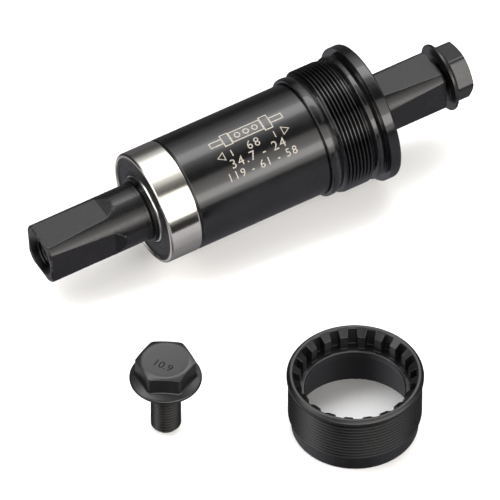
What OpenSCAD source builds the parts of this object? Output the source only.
// Square taper bottom bracket set for a threaded bicycle frame. The cartridge lies on its
// drive cup's flange and its bare left bearing, with the drive side crank bolt fitted.
// The left adapter cup and the left crank bolt stand beside it. Millimetres, +Z up.
// Distances along the spindle are from the middle of the frame shell, positive towards
// the drive side. Screw threads are plain cylinders at their crest diameter.

/* [Shell and thread] */
// Width of the frame shell that the cartridge fits
shell_w = 68; // [66:0.5:70]
// Crest diameter of the cup thread, 1.37 inch
thread_d = 34.7; // [34.4:0.05:34.9]

/* [Spindle] */
// Length of the spindle
spindle_len = 119; // [117:0.5:122]
// How far the spindle's middle sits to the left of the shell's middle
spindle_offset = 1.5; // [0.5:0.5:2]
// Diameter of the spindle outside the bearings
spindle_d = 16; // [15.8:0.1:16.2]
// Width across the flats at each end of the spindle
taper_af = 12.75; // [12.5:0.05:13]
// Slope of each flat, in degrees
taper_angle = 2; // [1.6:0.1:2.2]
// Length of each flat, without its run-out
flat_len = 18.8; // [17:0.2:19]
// Slope of the run-out at the inner end of each flat, in degrees
runout_angle = 18; // [14:1:30]
// Diameter of the threaded hole in each end
bolt_hole_d = 8.04; // [8:0.01:8.1]
// Depth of the threaded hole in each end
bolt_hole_depth = 22; // [20:1:24]

/* [Bearings] */
// Outer diameter of each bearing, and of the tube between them
bearing_d = 31; // [30.8:0.1:31]
// Bore of each bearing
bearing_bore = 17; // [16.9:0.1:17]
// Width of each bearing
bearing_w = 9.5; // [9:0.1:10]
// Distance from the flange's inner face to the bearing's outer face
bearing_inset = 3.8; // [3.6:0.1:4]
// Diameter of each ball
ball_d = 4; // [3.8:0.1:4]
// Number of balls in each bearing
ball_count = 11; // [9:1:12]
// Running clearance round each ball
ball_gap = 0.05; // [0.03:0.01:0.08]

/* [Drive cup] */
// Diameter of the flange
flange_d = 38; // [37:0.5:40]
// Thickness of the flange
flange_t = 3.2; // [3:0.1:3.5]
// Length of the drive cup's thread
drive_thread_len = 9.7; // [9:0.1:10]
// Diameter of the plain lip ahead of the thread
lip_d = 33.4; // [33:0.1:33.6]

/* [Left cup] */
// Height of the left cup
cup_h = 19; // [18:0.5:20]
// Diameter of the rim at the tool end
rim_d = 35.46; // [35.2:0.02:36]
// Diameter of the plain band below the thread
band_d = 33; // [32.8:0.1:33.4]
// Bore that slides over the left bearing
cup_bore_d = 31.2; // [31.1:0.05:31.3]
// Bore of the land between the tool socket and the bearing
land_d = 25.9; // [24:0.1:27]

/* [Tool splines] */
// Number of splines in each cup's tool socket
spline_count = 20; // [20:1:20]
// Diameter across the tips of the splines
spline_tip_d = 28.4; // [28:0.1:28.8]
// Diameter across the grooves between the splines
spline_root_d = 32; // [31.6:0.1:32.2]
// Depth of the tool socket
socket_depth = 5.7; // [5:0.1:6]

/* [Crank bolts] */
// Width across the flats of the hexagon
hex_af = 14; // [13:0.5:14]
// Diameter of the bolt's flange
bolt_flange_d = 18.8; // [18:0.2:20]
// Height of the head with its flange
head_h = 6.8; // [6:0.1:7.5]
// Diameter of the threaded stem
stem_d = 7.9; // [7.8:0.02:7.96]
// Length of the threaded stem
stem_len = 17.5; // [15:0.5:18]
// Gap left between the fitted bolt's flange and the spindle's end
fitted_gap = 1.2; // [0.5:0.1:2]
// Turn of the fitted bolt's hexagon about the spindle, in degrees
fitted_turn = 22.6; // [0:0.1:60]
// Turn of the loose bolt's hexagon, in degrees
loose_turn = 28; // [0:1:60]

/* [Layout] */
// Left cup's distance along X from the shell's middle
cup_along = -12.6; // [-20:0.1:0]
// Left cup's distance along Y from the spindle
cup_across = -81.4; // [-90:0.1:-60]
// Loose bolt's distance along X from the shell's middle
loose_along = -55.4; // [-60:0.1:-54]
// Loose bolt's distance along Y from the spindle
loose_across = -58; // [-70:0.1:-40]

/* [Hidden] */
$fn = 96;

// Small excess that lets a cutter pass through a face
cut = 1;
LEFT = -1;
DRIVE = 1;

// Stations along the spindle
flange_in = shell_w / 2;
flange_out = flange_in + flange_t;
bearing_out = flange_in - bearing_inset;
bearing_in = bearing_out - bearing_w;
bearing_mid = (bearing_out + bearing_in) / 2;
left_end = spindle_len / 2 + spindle_offset;
drive_end = spindle_len / 2 - spindle_offset;

// Radii
thread_r = thread_d / 2;
spindle_r = spindle_d / 2;
race_r = bearing_d / 2;
seat_r = bearing_bore / 2;
flange_r = flange_d / 2;
stem_r = stem_d / 2;
bolt_flange_r = bolt_flange_d / 2;

// Spindle details
spindle_core_r = 8.75;
spindle_shoulder_r = 9.3;
spindle_shoulder_w = 4;
spindle_end_chamfer = 0.6;
hole_chamfer_r = 5.7;
hole_chamfer_h = 1.1;
flat_r = taper_af / 2 + flat_len * tan(taper_angle);

// Snap rings
snap_t = 1;
snap_r = 9.1;
snap_groove_r = 7.6;
snap_gap_w = 4;
snap_lip_r = 8.25;
snap_lip_w = 0.7;

// Bearing details
race_edge = 0.5;
bore_edge = 0.3;
half_w = bearing_w / 2;
pitch_r = 12;
groove_r = ball_d / 2 + ball_gap;
inner_land_r = 10.7;
inner_end_r = 9.6;
outer_land_r = 13.3;
outer_end_r = 14.3;
seal_step = 3.5;
seal_gap = 0.1;
cage_in_r = 11.4;
cage_out_r = 12.6;
cage_half_w = 2.5;
pocket_gap = 0.06;

// Tube between the bearings
tube_bore_r = 14.2;
tube_edge = 0.3;

// Drive cup details
lip_start = bearing_in - 3;
thread_start = bearing_in + 0.1;
thread_end = thread_start + drive_thread_len;
relief_r = 16.1;
neck_start = flange_in - 2.7;
neck_r = 17.4;
flange_edge = 0.3;
thread_edge = 0.5;
lip_edge = 0.5;
web_r = 13.9;
socket_floor = flange_out - socket_depth;

// Tool socket details
spline_share = 0.48;
spline_slot_w = (1 - spline_share) * PI * (spline_tip_d + spline_root_d) / 2 / spline_count;
spline_lead_r = 16.3;
spline_lead_h = 1.7;

// Left cup details
rim_h = 1.6;
rim_edge = 0.8;
cup_thread_bottom = 4.5;
cup_thread_top = cup_h - rim_h - 0.3;
land_h = 1.9;
land_top = cup_h - socket_depth;
cup_edge = 0.5;

// Bolt details
bolt_rim_h = 0.9;
bolt_cone_h = 2;
bolt_cone_r = 6.6;
hex_top_r = 6.2;
hex_chamfer_angle = 18;
stem_chamfer = 0.7;

// How the cartridge lies: on the flange's inner edge and on the left bearing's outer edge
flange_rest = flange_in + flange_edge;
race_rest = bearing_out - race_edge;
lie_tilt = atan((flange_r - race_r) / (flange_rest + race_rest));
axis_z = race_r * cos(lie_tilt) + race_rest * sin(lie_tilt);

// The set's footprint, which the origin is in the middle of
bolt_seat = drive_end + fitted_gap;
foot_x_max = (bolt_seat + head_h) * cos(lie_tilt) + hex_top_r * sin(lie_tilt);
foot_x_min = loose_along - bolt_flange_r;
foot_y_min = cup_across - rim_d / 2;
axis_x = -(foot_x_max + foot_x_min) / 2;
axis_y = -(flange_r + foot_y_min) / 2;

// ---- Placing ----

// Local +Z runs along the spindle towards the drive side, from the shell's middle
module along_spindle() {
    translate([axis_x, axis_y, axis_z])
        rotate([0, 90 - lie_tilt, 0])
            children();
}

// Local +Z runs outwards along the spindle, from the middle of one bearing
module at_bearing(side) {
    along_spindle()
        mirror([0, 0, side == LEFT ? 1 : 0])
            translate([0, 0, bearing_mid])
                children();
}

module beside_spindle(along, across) {
    translate([axis_x + along, axis_y + across, 0])
        children();
}

// ---- Spindle ----

// Outline of one half of the spindle, as [radius, distance from the shell's middle]
function half_spindle(end) = [
    [spindle_core_r, bearing_in - spindle_shoulder_w],
    [spindle_shoulder_r, bearing_in - spindle_shoulder_w + 1],
    [spindle_shoulder_r, bearing_in],
    [seat_r, bearing_in],
    [seat_r, bearing_out],
    [snap_groove_r, bearing_out],
    [snap_groove_r, bearing_out + snap_t],
    [snap_lip_r, bearing_out + snap_t],
    [snap_lip_r, bearing_out + snap_t + snap_lip_w],
    [spindle_r, bearing_out + snap_t + snap_lip_w + snap_lip_r - spindle_r],
    [spindle_r, end - spindle_end_chamfer],
    [spindle_r - spindle_end_chamfer, end],
    [0, end]
];

function mirrored(points) = [for (k = [len(points) - 1:-1:0]) [points[k].x, -points[k].y]];

// Cutter for one flat and its run-out, with the spindle's end at Z 0 and its middle below
module flat_cutter() {
    across = 2 * spindle_r + 2 * cut;
    rotate([90, 0, 0])
        linear_extrude(across, center = true)
            polygon([
                [taper_af / 2 - cut * tan(taper_angle), cut],
                [flat_r, -flat_len],
                [spindle_r + cut, -flat_len - (spindle_r + cut - flat_r) / tan(runout_angle)],
                [spindle_r + cut, cut]
            ]);
}

// Square taper and threaded hole at one end of the spindle, with the end at Z 0
module spindle_end_cutters() {
    for (quarter = [0:3])
        rotate([0, 0, 90 * quarter])
            flat_cutter();
    translate([0, 0, -bolt_hole_depth])
        cylinder(h = bolt_hole_depth + cut, d = bolt_hole_d);
    translate([0, 0, -bolt_hole_depth - bolt_hole_d / 4])
        cylinder(h = bolt_hole_d / 4, r1 = 0, r2 = bolt_hole_d / 2);
    translate([0, 0, -hole_chamfer_h])
        cylinder(h = hole_chamfer_h, d1 = bolt_hole_d, r2 = hole_chamfer_r);
}

module spindle() {
    color("#2c2b2b") along_spindle() difference() {
        rotate_extrude()
            polygon(concat(half_spindle(drive_end), mirrored(half_spindle(left_end))));
        translate([0, 0, drive_end])
            spindle_end_cutters();
        mirror([0, 0, 1])
            translate([0, 0, left_end])
                spindle_end_cutters();
    }
}

// ---- Bearings, drawn in at_bearing's frame ----

module outer_race() {
    rotate_extrude() difference() {
        polygon([
            [outer_end_r, -half_w],
            [race_r - race_edge, -half_w],
            [race_r, -half_w + race_edge],
            [race_r, half_w - race_edge],
            [race_r - race_edge, half_w],
            [outer_end_r, half_w],
            [outer_end_r, seal_step],
            [outer_land_r, seal_step],
            [outer_land_r, -seal_step],
            [outer_end_r, -seal_step]
        ]);
        translate([pitch_r, 0])
            circle(groove_r);
    }
}

module inner_race() {
    rotate_extrude() difference() {
        polygon([
            [seat_r, -half_w + bore_edge],
            [seat_r + bore_edge, -half_w],
            [inner_end_r, -half_w],
            [inner_end_r, -seal_step],
            [inner_land_r, -seal_step],
            [inner_land_r, seal_step],
            [inner_end_r, seal_step],
            [inner_end_r, half_w],
            [seat_r + bore_edge, half_w],
            [seat_r, half_w - bore_edge]
        ]);
        translate([pitch_r, 0])
            circle(groove_r);
    }
}

module at_balls() {
    for (k = [0:ball_count - 1])
        rotate([0, 0, 360 * k / ball_count])
            translate([pitch_r, 0, 0])
                children();
}

module balls() {
    at_balls()
        sphere(d = ball_d);
}

module ball_cage() {
    difference() {
        rotate_extrude()
            translate([cage_in_r, -cage_half_w])
                square([cage_out_r - cage_in_r, 2 * cage_half_w]);
        at_balls()
            rotate([0, 90, 0])
                cylinder(h = ball_d, r = ball_d / 2 + pocket_gap, center = true);
    }
}

// A lipped rubber disc that grips the outer race and clears the inner one
module seal() {
    lip_z = half_w - 0.35;
    web_z = half_w - 0.55;
    back_z = half_w - 1.15;
    rotate_extrude()
        polygon([
            [inner_end_r + seal_gap, back_z + 0.15],
            [inner_end_r + 0.7, back_z],
            [outer_end_r - 0.7, back_z],
            [outer_end_r, back_z + 0.15],
            [outer_end_r, lip_z],
            [outer_end_r - 0.5, lip_z],
            [outer_end_r - 0.8, web_z],
            [inner_end_r + 0.8, web_z],
            [inner_end_r + 0.5, lip_z],
            [inner_end_r + seal_gap, lip_z]
        ]);
}

// An open spring ring in the spindle's groove, with its gap at the top
module snap_ring() {
    translate([0, 0, half_w])
        difference() {
            cylinder(h = snap_t, r = snap_r);
            translate([0, 0, -cut])
                cylinder(h = snap_t + 2 * cut, r = snap_groove_r);
            translate([-snap_r - cut, -snap_gap_w / 2, -cut])
                cube([snap_r + cut, snap_gap_w, snap_t + 2 * cut]);
        }
}

module left_outer_race() {
    color("#d6d6d4") at_bearing(LEFT) outer_race();
}

module left_inner_race() {
    color("#c4c4c2") at_bearing(LEFT) inner_race();
}

module left_balls() {
    color("#e2e2e2") at_bearing(LEFT) balls();
}

module left_ball_cage() {
    color("#a98c55") at_bearing(LEFT) ball_cage();
}

module left_outer_seal() {
    color("#1d1c1d") at_bearing(LEFT) seal();
}

module left_inner_seal() {
    color("#1d1c1d") at_bearing(LEFT) mirror([0, 0, 1]) seal();
}

module left_snap_ring() {
    color("#333334") at_bearing(LEFT) snap_ring();
}

module drive_outer_race() {
    color("#d6d6d4") at_bearing(DRIVE) outer_race();
}

module drive_inner_race() {
    color("#c4c4c2") at_bearing(DRIVE) inner_race();
}

module drive_balls() {
    color("#e2e2e2") at_bearing(DRIVE) balls();
}

module drive_ball_cage() {
    color("#a98c55") at_bearing(DRIVE) ball_cage();
}

module drive_outer_seal() {
    color("#1d1c1d") at_bearing(DRIVE) seal();
}

module drive_inner_seal() {
    color("#1d1c1d") at_bearing(DRIVE) mirror([0, 0, 1]) seal();
}

module drive_snap_ring() {
    color("#333334") at_bearing(DRIVE) snap_ring();
}

// ---- Cartridge tube ----

module cartridge_tube() {
    color("#1a1a1b") along_spindle() rotate_extrude()
        polygon([
            [tube_bore_r, -bearing_in],
            [race_r - tube_edge, -bearing_in],
            [race_r, -bearing_in + tube_edge],
            [race_r, bearing_in - tube_edge],
            [race_r - tube_edge, bearing_in],
            [tube_bore_r, bearing_in]
        ]);
}

// ---- Cups ----

// Space of a tool socket, from its floor at Z 0 up past its mouth at Z socket_depth
module tool_socket() {
    reach = socket_depth + cut;
    cylinder(h = reach, d = spline_tip_d);
    intersection() {
        cylinder(h = reach, d = spline_root_d);
        for (k = [0:spline_count - 1])
            rotate([0, 0, 360 * (k + 0.5) / spline_count])
                translate([0, -spline_slot_w / 2, 0])
                    cube([spline_root_d, spline_slot_w, reach]);
    }
    translate([0, 0, socket_depth - spline_lead_h])
        cylinder(h = spline_lead_h, d1 = spline_tip_d, r2 = spline_lead_r);
    translate([0, 0, socket_depth])
        cylinder(h = cut, r = spline_lead_r);
}

module drive_cup() {
    color("#171718") along_spindle() difference() {
        rotate_extrude()
            polygon([
                [race_r, lip_start],
                [lip_d / 2 - lip_edge, lip_start],
                [lip_d / 2, lip_start + lip_edge],
                [lip_d / 2, thread_start],
                [thread_r - thread_edge, thread_start],
                [thread_r, thread_start + thread_edge],
                [thread_r, thread_end - thread_edge],
                [thread_r - thread_edge, thread_end],
                [relief_r, thread_end],
                [relief_r, neck_start],
                [neck_r, neck_start],
                [neck_r, flange_in],
                [flange_r - flange_edge, flange_in],
                [flange_r, flange_in + flange_edge],
                [flange_r, flange_out - 2 * flange_edge],
                [flange_r - 2 * flange_edge, flange_out],
                [web_r, flange_out],
                [web_r, bearing_out],
                [race_r, bearing_out]
            ]);
        translate([0, 0, socket_floor])
            tool_socket();
    }
}

// A stepped disc in the cup's web, which clears the snap ring and the spindle
module drive_dust_cover() {
    bore_r = snap_lip_r + 0.15;
    color("#222122") along_spindle() rotate_extrude()
        polygon([
            [snap_r + 0.5, bearing_out + 0.2],
            [web_r, bearing_out + 0.2],
            [web_r, socket_floor + 0.2],
            [web_r - 0.3, socket_floor + 0.5],
            [bore_r, socket_floor + 0.5],
            [bore_r, bearing_out + snap_t + 0.15],
            [snap_r + 0.5, bearing_out + snap_t + 0.15]
        ]);
}

module left_cup() {
    rim_r = rim_d / 2;
    band_r = band_d / 2;
    color("#202021") beside_spindle(cup_along, cup_across) difference() {
        rotate_extrude()
            polygon([
                [land_d / 2, 0],
                [band_r - cup_edge, 0],
                [band_r, cup_edge],
                [band_r, cup_thread_bottom],
                [thread_r - thread_edge, cup_thread_bottom],
                [thread_r, cup_thread_bottom + thread_edge],
                [thread_r, cup_thread_top],
                [band_r, cup_thread_top],
                [band_r, cup_h - rim_h],
                [rim_r, cup_h - rim_h],
                [rim_r, cup_h - rim_edge],
                [rim_r - rim_edge, cup_h],
                [land_d / 2, cup_h]
            ]);
        translate([0, 0, -cut])
            cylinder(h = land_top - land_h + cut, d = cup_bore_d);
        translate([0, 0, land_top])
            tool_socket();
    }
}

// ---- Crank bolts, with the flange's underside at Z 0 and the stem below ----

module crank_bolt() {
    chamfer_rise = (bolt_flange_r - hex_top_r) * tan(hex_chamfer_angle);
    rotate_extrude()
        polygon([
            [0, -stem_len],
            [stem_r - stem_chamfer, -stem_len],
            [stem_r, -stem_len + stem_chamfer],
            [stem_r, 0],
            [bolt_flange_r - 0.3, 0],
            [bolt_flange_r, 0.3],
            [bolt_flange_r, bolt_rim_h],
            [bolt_cone_r, bolt_cone_h],
            [0, bolt_cone_h]
        ]);
    intersection() {
        cylinder(h = head_h, d = hex_af / cos(30), $fn = 6);
        rotate_extrude()
            polygon([
                [0, 0],
                [bolt_flange_r, 0],
                [bolt_flange_r, head_h - chamfer_rise],
                [hex_top_r, head_h],
                [0, head_h]
            ]);
    }
}

module drive_crank_bolt() {
    color("#3a3a3b") along_spindle() translate([0, 0, bolt_seat])
        rotate([0, 0, fitted_turn])
            crank_bolt();
}

module left_crank_bolt() {
    color("#3a3a3b") beside_spindle(loose_along, loose_across) translate([0, 0, stem_len])
        rotate([0, 0, loose_turn])
            crank_bolt();
}

// ---- Nodes ----

spindle();
cartridge_tube();
drive_cup();
drive_dust_cover();
left_outer_race();
left_inner_race();
left_balls();
left_ball_cage();
left_outer_seal();
left_inner_seal();
left_snap_ring();
drive_outer_race();
drive_inner_race();
drive_balls();
drive_ball_cage();
drive_outer_seal();
drive_inner_seal();
drive_snap_ring();
drive_crank_bolt();
left_crank_bolt();
left_cup();
